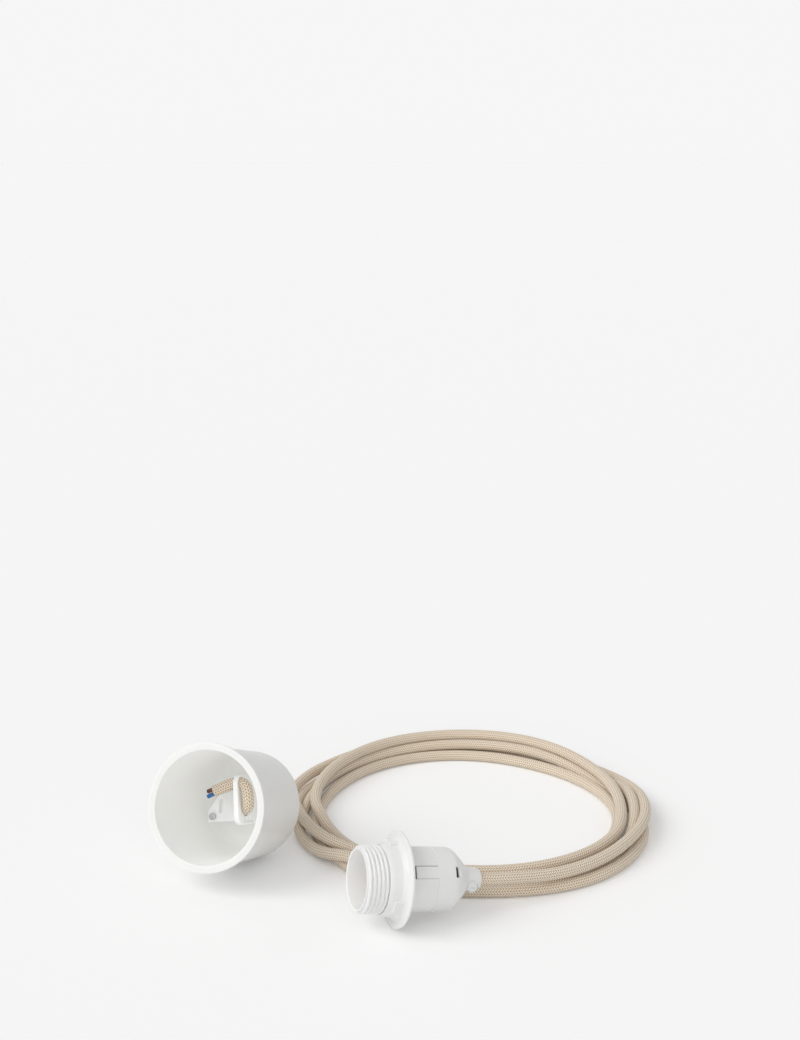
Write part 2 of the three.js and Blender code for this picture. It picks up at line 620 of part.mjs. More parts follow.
const holder = new THREE.Group();
const [tilt, turn] = [90 + HOLDER_TILT, HOLDER_TURN].map(THREE.MathUtils.degToRad);
holder.rotation.set(0, tilt, turn, 'ZYX');
holder.position.set(...HOLDER_AT, 0);
holder.add(piece('threaded_skirt', skirt(), WHITE_PLASTIC()));
holder.add(piece('shade_ring', shadeRing(), WHITE_PLASTIC()));
holder.add(piece('holder_cap', cap(), WHITE_PLASTIC()));
holder.add(piece(
  'grip_screw',
  spoke(GRIP_SCREW_R, CORD_D / 2 + GAP, BOSS_REACH - GRIP_SCREW_SUNK, BOSS_ANGLE, BOSS_Z), WHITE_PLASTIC(),
));
holder.add(piece('lamp_insert', lampInsert(), SATIN_WHITE()));
holder.add(piece('screw_shell', screwShell(), BRASS()));
holder.add(piece('centre_contact', centreContact(), BRASS()));
for (const [side, name, finish] of [[1, 'brown', CORE_BROWN], [-1, 'blue', CORE_BLUE]]) {
  holder.add(piece(`terminal_${name}`, terminal(side), BRASS()));
  holder.add(piece(`terminal_screw_${name}`, terminalScrew(side), STEEL()));
  holder.add(piece(`wire_${name}_holder`, holderCore(side), finish()));
}
setDown(holder);
group.add(holder);

group.add(piece('cord_tail', join(
  tube(tailInside, CORD_D, CORD_SIDES, BEND_STEP), tube(tailRun, CORD_D, CORD_SIDES, CORD_STEP),
), BRAID()));
group.add(piece('cord_to_holder', tube(holderRun, CORD_D, CORD_SIDES, CORD_STEP), BRAID()));
group.add(piece('cord_coil', coil([bed(tailRun), bed(holderRun)]), BRAID()));
group.add(piece('wire_brown_cup', cupCore(tailInside, ...BROWN_STUB), CORE_BROWN()));
group.add(piece('wire_blue_cup', cupCore(tailInside, ...BLUE_STUB), CORE_BLUE()));

export default group;
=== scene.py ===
import math

import bmesh
import bpy
import numpy as np
from mathutils import Matrix, Vector


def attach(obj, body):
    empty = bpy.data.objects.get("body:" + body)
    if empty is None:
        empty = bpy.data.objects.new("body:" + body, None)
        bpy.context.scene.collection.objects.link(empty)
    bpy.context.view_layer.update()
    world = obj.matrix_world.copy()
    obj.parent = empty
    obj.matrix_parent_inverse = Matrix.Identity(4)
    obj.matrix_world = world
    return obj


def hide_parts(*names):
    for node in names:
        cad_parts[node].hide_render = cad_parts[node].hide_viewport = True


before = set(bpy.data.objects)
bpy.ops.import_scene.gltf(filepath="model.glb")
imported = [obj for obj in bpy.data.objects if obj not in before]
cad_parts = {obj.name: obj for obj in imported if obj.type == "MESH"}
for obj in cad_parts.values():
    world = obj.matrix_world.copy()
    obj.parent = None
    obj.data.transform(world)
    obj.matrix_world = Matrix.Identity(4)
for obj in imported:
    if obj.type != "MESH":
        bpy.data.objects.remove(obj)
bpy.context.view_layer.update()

MM = 0.001


# Camera
# A long lens looks a little down on the set, straight at the side where
# the cup's mouth and the lamp holder lie.
CAMERA_AT = (0.05324, -0.92559, 0.44702)
CAMERA_PITCH = 12.86
SENSOR_WIDTH = 36.0
LENS = 72.0
CLIP_END = 200.0

camera_data = bpy.data.cameras.new("camera")
camera_data.sensor_fit = "HORIZONTAL"
camera_data.sensor_width = SENSOR_WIDTH
camera_data.lens = LENS
camera_data.clip_end = CLIP_END
camera = bpy.data.objects.new("camera", camera_data)
camera.location = CAMERA_AT
camera.rotation_euler = (math.radians(90 - CAMERA_PITCH), 0, 0)
bpy.context.scene.collection.objects.link(camera)
bpy.context.scene.camera = camera


# Cord
# A round flex in a braided textile sleeve of sand-coloured yarn: fourteen lengthwise columns
# of slanting stitches, which lean left and right in turn. It lies in about five loose turns.
CORD_D = 7.5 * MM
COLUMNS = 14
COLUMN_SIDE = 3
STITCH = 1.75 * MM
RING_STEP = 1.9 * MM
GROOVE = 0.12 * MM
LAY_STEP = 4 * MM
STITCH_LEAN = 0.95
BRAID_RELIEF = 0.25 * MM

# From the cut end, through hanger and cup outlet, to the coil
TAIL_ROUTE = [
    (-0.0661, 0.0404, 0.0473), (-0.0610, 0.0399, 0.0499), (-0.0551, 0.0397, 0.0525),
    (-0.0498, 0.0384, 0.0540), (-0.0459, 0.0357, 0.0532), (-0.0442, 0.0329, 0.0499),
    (-0.0437, 0.0313, 0.0451), (-0.0440, 0.0323, 0.0402), (-0.0473, 0.0359, 0.0366),
    (-0.0500, 0.0410, 0.0344), (-0.0493, 0.0471, 0.0332), (-0.0451, 0.0551, 0.0316),
    (-0.0405, 0.0637, 0.0290), (-0.0386, 0.0681, 0.0274),
]
TAIL_RUN = [
    (-0.0352, 0.0760, 0.0240), (-0.0310, 0.0880, 0.0196), (-0.0260, 0.1120, 0.0132),
    (-0.0182, 0.1481, 0.0096), (-0.0086, 0.1730, 0.0090),
]
# From the coil to the holder's grip and on into the cap
HOLDER_RUN = [
    (0.1898, 0.0232, 0.0126), (0.1693, 0.0041, 0.0122), (0.1570, -0.0057, 0.0127),
    (0.1395, -0.0145, 0.0142), (0.1220, -0.0236, 0.0176), (0.1094, -0.0277, 0.0189),
    (0.1029, -0.0300, 0.0200), (0.0871, -0.0357, 0.0226),
]

# Turns of the coil, clockwise from above: angle, radius and height of the cord's middle
COIL_CENTRE = (103.3, 109.7)
FLAT = 3.75
TURNS = [
    [(120, 131, 5.5), (90, 117, FLAT), (60, 114.5, FLAT), (30, 114.2, FLAT), (0, 111.5, 11.3),
     (-15, 112, 10.2), (-30, 114.3, 5.2), (-60, 120, FLAT), (-90, 116, FLAT), (-120, 119.5, 10.5),
     (-150, 124.3, 3.9), (-168, 122.8, 4.6), (-180, 116.4, 6.4), (-210, 113.5, 8)],
    [(120, 113.5, 10), (90, 112.8, 10.2), (60, 109.5, 9.5), (30, 106.6, FLAT), (0, 113, FLAT),
     (-15, 119.3, FLAT), (-30, 122.5, FLAT), (-60, 127.8, FLAT), (-90, 124, FLAT),
     (-120, 126, FLAT), (-150, 116.7, FLAT), (-180, 106.5, FLAT), (-210, 106, FLAT)],
    [(120, 109.5, FLAT), (90, 107, FLAT), (60, 100.3, FLAT), (30, 99, FLAT), (0, 100.5, FLAT),
     (-30, 102, FLAT), (-60, 106, FLAT), (-90, 108, FLAT), (-120, 103, FLAT),
     (-150, 102.5, FLAT), (-180, 110.1, 11), (-195, 111, 13.8), (-210, 112, 15.5)],
    [(120, 116, 16.5), (90, 117.5, 16.6), (60, 114.5, 15.6), (30, 108, 11.3), (0, 102, 12),
     (-15, 103.5, 12), (-30, 108, 12), (-60, 111, 11), (-90, 112, 11.2), (-120, 110.5, 11),
     (-150, 117.6, 11.4), (-168, 119.6, 11), (-180, 123.2, 9.6), (-195, 122.6, 4.3),
     (-210, 121.5, FLAT)],
    [(120, 124, FLAT), (90, 124.7, FLAT), (60, 122, FLAT), (30, 121.8, 4.3), (0, 119, 11.2),
     (-15, 119.2, 12.3), (-30, 119.4, 13)],
]

# How the turns are joined to one line and settled
COIL_STEP_DEG = 7.5
CURVE_SAMPLES = 24
SETTLE_ROUNDS = 70
SETTLE_PUSH = 0.3
SETTLE_EASE = 0.2
OWN_NEIGHBOURS = 7
HELD_AT_HOLDER = 0.03
HELD_AT_CUP = 0.13
HELD_FADE = 0.02


def between(t, low, high, first, last):
    """The value at t on a straight run from first, at low, to last, at high."""
    return (high - t) / (high - low) * first + (t - low) / (high - low) * last


def smooth_line(points, step):
    """Points at equal steps along a centripetal Catmull-Rom curve."""
    p = np.array(points, dtype=float)
    p = np.vstack([2 * p[0] - p[1], p, 2 * p[-1] - p[-2]])
    dense = []
    for k in range(1, len(p) - 2):
        a, b, c, d = p[k - 1:k + 3]
        ta = 0.0
        tb = ta + max(np.linalg.norm(b - a), 1e-9) ** 0.5
        tc = tb + max(np.linalg.norm(c - b), 1e-9) ** 0.5
        td = tc + max(np.linalg.norm(d - c), 1e-9) ** 0.5
        t = np.linspace(tb, tc, CURVE_SAMPLES, endpoint=False)[:, None]
        ab = between(t, ta, tb, a, b)
        bc = between(t, tb, tc, b, c)
        cd = between(t, tc, td, c, d)
        abc = between(t, ta, tc, ab, bc)
        bcd = between(t, tb, td, bc, cd)
        dense.append(between(t, tb, tc, abc, bcd))
    dense = np.vstack(dense + [p[-2][None]])
    return even_steps(dense, step)


def even_steps(line, step):
    """The same line with its points at equal distances."""
    run = np.concatenate([[0], np.cumsum(np.linalg.norm(np.diff(line, axis=0), axis=1))])
    count = max(2, int(round(run[-1] / step)) + 1)
    at = np.linspace(0, run[-1], count)
    return np.stack([np.interp(at, run, line[:, k]) for k in range(3)], axis=1)


def coil_points():
    """Points round all turns, from the cup's end to the holder's end."""
    stations = []
    for turn, rows in enumerate(TURNS):
        stations += [(angle - 360 * turn, radius, height) for angle, radius, height in rows]
    stations = np.array(stations, dtype=float)
    angles = np.arange(stations[0, 0], stations[-1, 0] - 0.1, -COIL_STEP_DEG)
    at = -stations[:, 0]
    k = np.clip(np.searchsorted(at, -angles, side="right") - 1, 0, len(at) - 2)
    width = at[k + 1] - at[k]
    t = (-angles - at[k]) / width
    values = []
    for value in (1, 2):
        slope = np.gradient(stations[:, value], at)
        y0, y1 = stations[k, value], stations[k + 1, value]
        values.append(
            (2 * t**3 - 3 * t**2 + 1) * y0 + (t**3 - 2 * t**2 + t) * width * slope[k]
            + (-2 * t**3 + 3 * t**2) * y1 + (t**3 - t**2) * width * slope[k + 1]
        )
    radius, height = values
    x = COIL_CENTRE[0] + radius * np.cos(np.radians(angles))
    y = COIL_CENTRE[1] + radius * np.sin(np.radians(angles))
    return np.stack([x, y, np.maximum(height, FLAT)], axis=1) * MM


def settle(line, loose):
    """Eases strands that meet apart until they lie beside and on each other, above the floor."""
    index = np.arange(len(line))
    apart = np.abs(index[:, None] - index[None]) > OWN_NEIGHBOURS
    for _ in range(SETTLE_ROUNDS):
        offset = line[:, None] - line[None]
        distance = np.maximum(np.linalg.norm(offset, axis=2), 1e-6)
        push = np.where(apart & (distance < CORD_D), (CORD_D - distance) / distance, 0)
        line = line + loose[:, None] * SETTLE_PUSH * (offset * push[..., None]).sum(axis=1)
        middle = (line[:-2] + line[2:]) / 2
        line[1:-1] += loose[1:-1, None] * SETTLE_EASE * (middle - line[1:-1])
        line[:, 2] = np.where(loose > 0, np.maximum(line[:, 2], CORD_D / 2), line[:, 2])
    return line


def cord_line():
    """The cord's middle from inside the cap, round the coil, to the cut end in the cup."""
    middle = [tuple(p) for p in coil_points()]
    route = TAIL_ROUTE + TAIL_RUN + middle[1:] + HOLDER_RUN
    line = smooth_line(route[::-1], LAY_STEP)
    run = np.arange(len(line)) * LAY_STEP
    past_holder = (run - HELD_AT_HOLDER) / HELD_FADE
    before_cup = (run[-1] - HELD_AT_CUP - run) / HELD_FADE
    line = settle(line, np.clip(np.minimum(past_holder, before_cup), 0, 1))
    return even_steps(line, RING_STEP)


def sweep_frames(line):
    """Two directions across a line that turn with it and don't twist."""
    along = np.gradient(line, axis=0)
    along /= np.linalg.norm(along, axis=1)[:, None]
    side = np.cross(along[0], (0, 0, 1))
    side /= np.linalg.norm(side)
    sides = [side]
    for direction in along[1:]:
        side = sides[-1] - direction * np.dot(sides[-1], direction)
        sides.append(side / np.linalg.norm(side))
    sides = np.array(sides)
    return sides, np.cross(along, sides)


def swept(line, radii, sides):
    """Vertices and faces of a capped tube along a line; radii has a row for each ring."""
    side, over = sweep_frames(line)
    turn = np.arange(sides) * 2 * math.pi / sides
    sideways, upwards = np.cos(turn)[None, :, None], np.sin(turn)[None, :, None]
    ring = sideways * side[:, None] + upwards * over[:, None]
    vertices = (line[:, None] + radii[..., None] * ring).reshape(-1, 3)
    return vertices, tube_faces(len(line), sides)


def tube_faces(rings, sides):
    """Faces of a tube of rings of vertices, closed at both ends."""
    faces = []
    for i in range(rings - 1):
        for k in range(sides):
            a, b = i * sides + k, i * sides + (k + 1) % sides
            faces.append((a, b, b + sides, a + sides))
    last = (rings - 1) * sides
    faces.append(tuple(range(sides))[::-1])
    faces.append(tuple(range(last, last + sides)))
    return faces


def smooth_shaded(mesh, sharp):
    """Shades a mesh smooth apart from edges over an angle."""
    mesh.shade_smooth()
    mesh.set_sharp_from_angle(angle=math.radians(sharp))


def root_piece(name, mesh, finish, sharp):
    smooth_shaded(mesh, sharp)
    mesh.materials.append(finish)
    piece = bpy.data.objects.new(name, mesh)
    bpy.context.scene.collection.objects.link(piece)
    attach(piece, "root")
    return piece


def mesh_piece(name, vertices, faces, finish, sharp=35):
    """A piece of the root body from plain mesh data."""
    mesh = bpy.data.meshes.new(name)
    mesh.from_pydata([tuple(v) for v in vertices], [], faces)
    mesh.validate()
    return root_piece(name, mesh, finish, sharp)


class Wire:
    """A value on its way through a material, with arithmetic that adds Math nodes."""

    def __init__(self, finish, socket):
        self.finish = finish
        self.socket = socket

    def beside(self, output):
        """Another output of the node that this value comes from."""
        return Wire(self.finish, self.socket.node.outputs[output])

    def math(self, operation, first, second=0.0):
        return self.finish.node("ShaderNodeMath", {"operation": operation}, {0: first, 1: second})

    def __add__(self, other):
        return self.math("ADD", self, other)

    def __radd__(self, other):
        return self.math("ADD", other, self)

    def __sub__(self, other):
        return self.math("SUBTRACT", self, other)

    def __rsub__(self, other):
        return self.math("SUBTRACT", other, self)

    def __mul__(self, other):
        return self.math("MULTIPLY", self, other)

    def __rmul__(self, other):
        return self.math("MULTIPLY", other, self)

    def __pow__(self, other):
        return self.math("POWER", self, other)


class Finish:
    """A material, or the world, with one shader and a method for every other node."""

    def __init__(self, name, shader="Principled BSDF", kind=bpy.data.materials, **constants):
        self.owner = kind.new(name)
        self.owner.use_nodes = True
        self.tree = self.owner.node_tree
        self.shader = self.tree.nodes[shader]
        for key, value in constants.items():
            self.shader.inputs[key.replace("_", " ")].default_value = value

    def node(self, kind, settings=None, inputs=None, output=0):
        node = self.tree.nodes.new(kind)
        for key, value in (settings or {}).items():
            if key == "stops":
                ramp = node.color_ramp.elements
                while len(ramp) < len(value):
                    ramp.new(0.5)
                for element, (position, colour) in zip(ramp, value):
                    element.position = position
                    element.color = (*colour, 1)
            else:
                setattr(node, key, value)
        for key, value in (inputs or {}).items():
            self.feed(node.inputs[key], value)
        return Wire(self, node.outputs[output])

    def feed(self, socket, value):
        if isinstance(value, Wire):
            self.tree.links.new(value.socket, socket)
        else:
            socket.default_value = value

    def drive(self, **values):
        for key, value in values.items():
            self.feed(self.shader.inputs[key.replace("_", " ")], value)
        return self.owner

    def place(self):
        return self.node("ShaderNodeTexCoord", output="Object")

    def noise(self, scale, detail=2.0, where=None):
        return self.node(
            "ShaderNodeTexNoise", {},
            {"Vector": where or self.place(), "Scale": scale, "Detail": detail},
        )

    def blend(self, share, first, second):
        return self.node(
            "ShaderNodeMix", {"data_type": "RGBA"},
            {0: share, 6: (*first, 1), 7: (*second, 1)}, output=2,
        )

    def relief(self, height, depth):
        return self.node(
            "ShaderNodeBump", {}, {"Height": height, "Distance": depth, "Strength": 1.0},
        )


def linear(red, green, blue):
    """A colour given as it looks on screen, 0 to 255."""
    return tuple(
        (v / 255 / 12.92) if v <= 10 else ((v / 255 + 0.055) / 1.055) ** 2.4
        for v in (red, green, blue)
    )


# Colour ramp of the braid: its dark end paints shade into the gaps between stitches and at the
# column edges, and its light end paints the stitch crowns lighter
BRAID_TONES_WITH_PAINTED_SHADE = [
    (0.15, linear(126, 104, 78)), (0.45, linear(207, 186, 158)),
    (0.7, linear(240, 224, 202)), (1.0, linear(252, 243, 230)),
]


def braid_finish():
    """Stitches that lean one way in even columns and the other way in odd ones, coloured darker
    in the gaps between them as painted shade.
    """
    finish = Finish("cord_braid", Roughness=0.85, Sheen_Weight=0.25, Sheen_Roughness=0.5)
    layout = finish.node("ShaderNodeAttribute", {"attribute_name": "braid"}, output="Vector")
    columns = finish.node("ShaderNodeSeparateXYZ", {}, {0: layout})
    along = columns.beside("Y")
    across = columns.math("FRACT", columns)
    lean = 1 - 2 * columns.math("MODULO", columns.math("FLOOR", columns), 2.0)
    stitch = along.math("FRACT", along + lean * (across - 0.5) * STITCH_LEAN)
    bulge = stitch.math("SINE", stitch * math.pi) ** 0.7
    crown = across.math("SINE", across * math.pi) ** 0.35
    height = bulge * crown
    strands = finish.noise(2.3, detail=3.0, where=layout)
    # Colour from the stitch height is painted shade in the gaps and painted light on the crowns;
    # the noise adds random yarn tone
    colour = finish.node(
        "ShaderNodeValToRGB", {"stops": BRAID_TONES_WITH_PAINTED_SHADE}, {0: height * 0.8 + strands * 0.3},
    )
    return finish.drive(Base_Color=colour, Normal=finish.relief(height, BRAID_RELIEF))


cord_path = cord_line()
sides = COLUMNS * COLUMN_SIDE
radii = np.full((len(cord_path), sides), CORD_D / 2)
radii[:, ::COLUMN_SIDE] -= GROOVE
cord_vertices, cord_faces = swept(cord_path, radii, sides)
cord = mesh_piece("cord", cord_vertices, cord_faces, braid_finish(), sharp=60)

# Each corner's column and stitch, where the last column ends at COLUMNS and not at 0
layout = cord.data.attributes.new("braid", "FLOAT_VECTOR", "CORNER")
rows = np.zeros((len(cord.data.loops), 3), dtype=np.float32)
loop_vertex = np.zeros(len(cord.data.loops), dtype=np.int32)
cord.data.loops.foreach_get("vertex_index", loop_vertex)
rows[:, 0] = (loop_vertex % sides) / COLUMN_SIDE
rows[:, 1] = (loop_vertex // sides) * RING_STEP / STITCH
quads = len(cord_faces) - 2
wrap = np.arange(quads * 4).reshape(quads, 4)
last_column = (loop_vertex[wrap] % sides == sides - 1).any(axis=1)
for face_loops in wrap[last_column]:
    for loop in face_loops:
        if loop_vertex[loop] % sides == 0:
            rows[loop, 0] = COLUMNS
layout.data.foreach_set("vector", rows.ravel())
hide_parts("cord_tail", "cord_to_holder", "cord_coil")


# Cores at the cut end
# Two copper conductors in PVC, one brown and one blue, cut short where the braid ends.
CORE_D = 2.7 * MM
CORE_GAP = 0.3 * MM
CORE_SIDES = 20
CORE_RUN = (0, 0.06, 0.5, 0.94, 1)
CORE_SWELL = (0.9, 1, 1, 1, 0.9)


def core_finish(name, colour, dark):
    finish = Finish(name, Roughness=0.38, Coat_Weight=0.1)
    return finish.drive(Base_Color=finish.blend(finish.noise(400.0), dark, colour))


brown = core_finish("core_brown", linear(112, 66, 48), linear(84, 47, 34))
blue = core_finish("core_blue", linear(52, 126, 190), linear(34, 98, 160))


def core_stub(name, node, finish, sideways, up, length):
    """A core that sticks out of the cord's end; its place and length are in millimetres."""
    end = cord_path[-1]
    back = cord_path[-1] - cord_path[-3]
    back /= np.linalg.norm(back)
    right = np.cross(back, (0, 0, 1))
    right /= np.linalg.norm(right)
    start = end + back * CORE_GAP + right * sideways * MM + np.cross(right, back) * up * MM
    line = np.array([start + back * length * MM * t for t in CORE_RUN])
    swell = np.array(CORE_SWELL)[:, None] * CORE_D / 2
    core_radii = np.repeat(swell, CORE_SIDES, axis=1)
    piece = mesh_piece(name, *swept(line, core_radii, CORE_SIDES), finish)
    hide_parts(node)
    return piece


brown_stub = core_stub("brown_stub", "wire_brown_cup", brown, -0.4, 1.7, 4)
blue_stub = core_stub("blue_stub", "wire_blue_cup", blue, 0.6, -1.6, 6)


# Ceiling cup
# A deep white cup, injection moulded in one piece with a flat rim that meets the
# ceiling and a collar round the cord's outlet. Its walls are slightly conical.
CUP_RIM_R = 40.0
CUP_RIM_HEIGHT = 2.6
CUP_RIM_FACE = 4.4
CUP_RIM_STEP = 0.8
CUP_MOUTH_R = 37.6
CUP_END_R = 34.5
CUP_DEPTH = 75.0
CUP_FILLET = 13.0
CUP_WALL = 2.2
OUTLET_R = 4.95
COLLAR_R = 7.35
COLLAR_TOP = 6.0
CUP_TILT = 70.5
CUP_TURN = -22.0
CUP_AT = (-0.06706, -0.00194, 0.053945)
STRAIGHT_DEG = 177
ARC_STEP_DEG = 9
TURN_STEPS = 192
LEANS_IN = 0.3


def rounded(corners):
    """A closed outline of (radius, height, corner radius) with its corners made round."""
    out = []
    count = len(corners)
    for k, (r, z, bend) in enumerate(corners):
        here = np.array((r, z))
        before = np.array(corners[k - 1][:2]) - here
        after = np.array(corners[(k + 1) % count][:2]) - here
        lengths = np.linalg.norm(before), np.linalg.norm(after)
        before, after = before / lengths[0], after / lengths[1]
        angle = math.acos(max(-1, min(1, float(np.dot(before, after)))))
        if bend <= 0 or angle > math.radians(STRAIGHT_DEG):
            out.append((r, z))
            continue
        reach = min(bend / math.tan(angle / 2), 0.48 * min(lengths))
        radius = reach * math.tan(angle / 2)
        middle = (before + after) / np.linalg.norm(before + after)
        centre = here + middle * radius / math.sin(angle / 2)
        start, end = here + before * reach - centre, here + after * reach - centre
        turn = math.atan2(start[0] * end[1] - start[1] * end[0], float(np.dot(start, end)))
        steps = max(3, int(abs(turn) / math.radians(ARC_STEP_DEG)))
        for step in range(steps + 1):
            a = turn * step / steps
            c, s = math.cos(a), math.sin(a)
            out.append((
                centre[0] + c * start[0] - s * start[1],
                centre[1] + s * start[0] + c * start[1],
            ))
    return out


def turned(profile, count=TURN_STEPS, radius=None):
    """Vertices and faces of a piece turned about +Z from a closed outline, in millimetres."""
    vertices, faces = [], []
    points = len(profile)
    for i in range(count):
        angle = 2 * math.pi * i / count
        for r, z in profile:
            r = radius(r, z, math.degrees(angle)) if radius else r
            vertices.append((r * math.cos(angle), r * math.sin(angle), z))
    for i in range(count):
        j = (i + 1) % count
        for k in range(points):
            m = (k + 1) % points
            faces.append((i * points + k, j * points + k, j * points + m, i * points + m))
    return vertices, faces


def quarter(centre_r, centre_z, bend, from_deg, to_deg):
    """Points of a fillet, none of which is rounded again."""
    angles = np.radians(np.linspace(from_deg, to_deg, 19))
    return [(centre_r + bend * math.cos(a), centre_z + bend * math.sin(a), 0) for a in angles]


def mark_inside(piece):
    """Marks faces that look towards the axis, or up its length within the cup's end, which get
    the painted glow.
    """
    marks = piece.data.attributes.new("inside", "FLOAT", "FACE")
    for face in piece.data.polygons:
        centre = Vector(face.center.xy)
        inward = face.normal.xy.dot(centre) < -LEANS_IN * centre.length
        upward = face.normal.z > LEANS_IN and centre.length < CUP_END_R - 1
        marks.data[face.index].value = float(inward or upward)


def painted_inner_glow(finish):
    """A painted glow on the faces that are marked as inside, standing in for light that comes
    through a thin wall.
    """
    inside = finish.node("ShaderNodeAttribute", {"attribute_name": "inside"})
    return finish.blend(inside, (0, 0, 0), (1, 1, 0.98))


def lay_down(piece, place, sharp=None):
    """Moves a piece that was made in millimetres on its own axis to where it lies."""
    piece.data.transform(Matrix.Scale(MM, 4))
    piece.data.transform(place)
    if sharp:
        smooth_shaded(piece.data, sharp)


def cup_finish():
    # The emission on faces marked as inside is a painted glow, not a lamp
    finish = Finish(
        "cup_white", Roughness=0.42, IOR=1.46, Subsurface_Weight=1.0,
        Subsurface_Radius=(1.0, 1.0, 0.94), Subsurface_Scale=1.0 * MM, Emission_Strength=0.1,
    )
    mottle = finish.noise(90.0, detail=3.0)
    grain = finish.noise(2600.0)
    return finish.drive(
        Base_Color=finish.blend(mottle, linear(237, 237, 235), linear(241, 241, 239)),
        Roughness=0.38 + mottle * 0.1, Normal=finish.relief(grain, 0.012 * MM),
        Emission_Color=painted_inner_glow(finish),
    )


fillet_r, fillet_z = CUP_END_R - CUP_FILLET, -CUP_DEPTH + CUP_FILLET
cup_profile = rounded([
    (CUP_RIM_R, 0, 0.45), (CUP_RIM_R, -CUP_RIM_HEIGHT, 0.6),
    (CUP_MOUTH_R, -CUP_RIM_HEIGHT - CUP_RIM_STEP, 0.6),
    *quarter(fillet_r, fillet_z, CUP_FILLET, 0, -90),
    (OUTLET_R, -CUP_DEPTH, 0.6), (OUTLET_R, -CUP_DEPTH + COLLAR_TOP, 0.5),
    (COLLAR_R, -CUP_DEPTH + COLLAR_TOP, 0.5), (COLLAR_R, -CUP_DEPTH + CUP_WALL, 0.8),
    *quarter(fillet_r, fillet_z, CUP_FILLET - CUP_WALL, -90, 0),
    (CUP_MOUTH_R - CUP_WALL, -CUP_RIM_HEIGHT, 0.6), (CUP_RIM_R - CUP_RIM_FACE, 0, 0.35),
])
cup_place = Matrix.Translation(CUP_AT) @ (
    Matrix.Rotation(math.radians(CUP_TURN), 4, "Z")
    @ Matrix.Rotation(math.radians(CUP_TILT), 4, "X")
)
cup = mesh_piece("cup_shell", *turned(cup_profile[::-1]), cup_finish(), sharp=50)
mark_inside(cup)
lay_down(cup, cup_place)
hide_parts("ceiling_cup")


# Cord hanger
# One nylon moulding that stands in the cup: an upright plate with two holes that the
# cord is woven through, and a shelf with a slot. Its edges are softly rounded.
HANGER_BEVEL = 0.45 * MM
WELD = 1e-6
FLAT_DEG = 1.5
CORNER_DEG = 35


def softened(node, name, bevel, finish):
    """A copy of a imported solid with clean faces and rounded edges."""
    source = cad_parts[node]
    work = bmesh.new()
    work.from_mesh(source.data)
    work.transform(source.matrix_world)
    bmesh.ops.remove_doubles(work, verts=work.verts, dist=WELD)
    bmesh.ops.dissolve_limit(
        work, angle_limit=math.radians(FLAT_DEG), verts=work.verts, edges=work.edges,
    )
    edges = [
        e for e in work.edges
        if len(e.link_faces) == 2 and e.calc_face_angle() > math.radians(CORNER_DEG)
    ]
    bmesh.ops.bevel(
        work, geom=edges, offset=bevel, offset_type="OFFSET", segments=3, profile=0.5,
        affect="EDGES", clamp_overlap=True,
    )
    mesh = bpy.data.meshes.new(name)
    work.to_mesh(mesh)
    work.free()
    mesh.materials.clear()
    piece = root_piece(name, mesh, finish, sharp=40)
    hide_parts(node)
    return piece


def nylon_finish():
    # The constant emission makes the whole hanger glow: painted light standing in for light
    # through the nylon
    finish = Finish(
        "hanger_nylon", Roughness=0.42, IOR=1.5, Subsurface_Weight=1.0,
        Subsurface_Radius=(1.0, 1.0, 0.98), Subsurface_Scale=0.8 * MM,
        Emission_Color=(1, 1, 1, 1), Emission_Strength=0.08,
    )
    mottle = finish.noise(160.0, detail=3.0)
    return finish.drive(
        Base_Color=finish.blend(mottle, linear(240, 241, 241), linear(245, 246, 245)),
        Normal=finish.relief(finish.noise(1900.0), 0.02 * MM),
    )


hanger = softened("hanger_plate", "hanger", HANGER_BEVEL, nylon_finish())


# Hanger screw
# A small round-headed steel screw in the hanger's shelf, zinc plated.
HANGER_SCREW_BEVEL = 0.3 * MM


def metal_finish(name, scale, dark, light, roughness, spread, **constants):
    """Bare metal with a fine mottle in its colour and gloss."""
    finish = Finish(name, Metallic=1.0, **constants)
    mottle = finish.noise(scale, detail=4.0)
    return finish.drive(
        Base_Color=finish.blend(mottle, dark, light), Roughness=roughness + mottle * spread,
    )


steel = metal_finish(
    "screw_steel", 700.0, linear(176, 178, 180), linear(206, 207, 208), 0.28, 0.22, IOR=2.5,
)
hanger_screw = softened("hanger_screw", "hanger_screw_head", HANGER_SCREW_BEVEL, steel)


# Threaded skirt
# Lower half of the lamp holder: a moulded barrel with a rolled outer thread for the
# shade ring, the lamp's mouth, and two windows for the latch tongues of the cap.
THREAD_R = 20.0
THREAD_DEPTH = 1.6
THREAD_PITCH = 2.65
THREAD_START = 1.49
THREAD_END_Z = 0.2
THREAD_FADE = 0.8
BARREL_R = 19.1
BARREL_WALL = 1.7
MOUTH_Z = -25.8
MOUTH_LIP = 0.9
MOUTH_BORE_R = 17.3
INNER_BORE_R = 17.5
INNER_BORE_Z = -6.9
LEDGE_R = 16.6
LEDGE_Z = (-6, -3.3)
SEAM_Z = 19.0
EDGE_BREAK = 0.25
WINDOWS = (-114, 66)
WINDOW_SPAN = 23.6
WINDOW_Z = 2.9
PAST_R = 24.0
PAST_Z = 2
FLANGE_R = 28.7
FLANGE_FACE_Z = 0.2
HOLDER_TILT = 8.8
HOLDER_TURN = 19.65
HOLDER_AT = (0.05164, -0.04834)
HOLDER_WHITE = (238, 238, 237)


def moulded_finish(name, roughness, tint):
    # The emission on faces marked as inside is a painted glow, not a lamp
    finish = Finish(
        name, IOR=1.5, Subsurface_Weight=1.0, Subsurface_Radius=(1.0, 1.0, 0.96),
        Subsurface_Scale=0.2 * MM, Emission_Strength=0.12,
    )
    mottle = finish.noise(140.0, detail=3.0)
    haze = finish.noise(900.0, detail=4.0)
    return finish.drive(
        Base_Color=finish.blend(mottle, linear(*[v - 4 for v in tint]), linear(*tint)),
        Roughness=roughness + haze * 0.1,
        Normal=finish.relief(finish.noise(1500.0), 0.01 * MM),
        Emission_Color=painted_inner_glow(finish),
    )


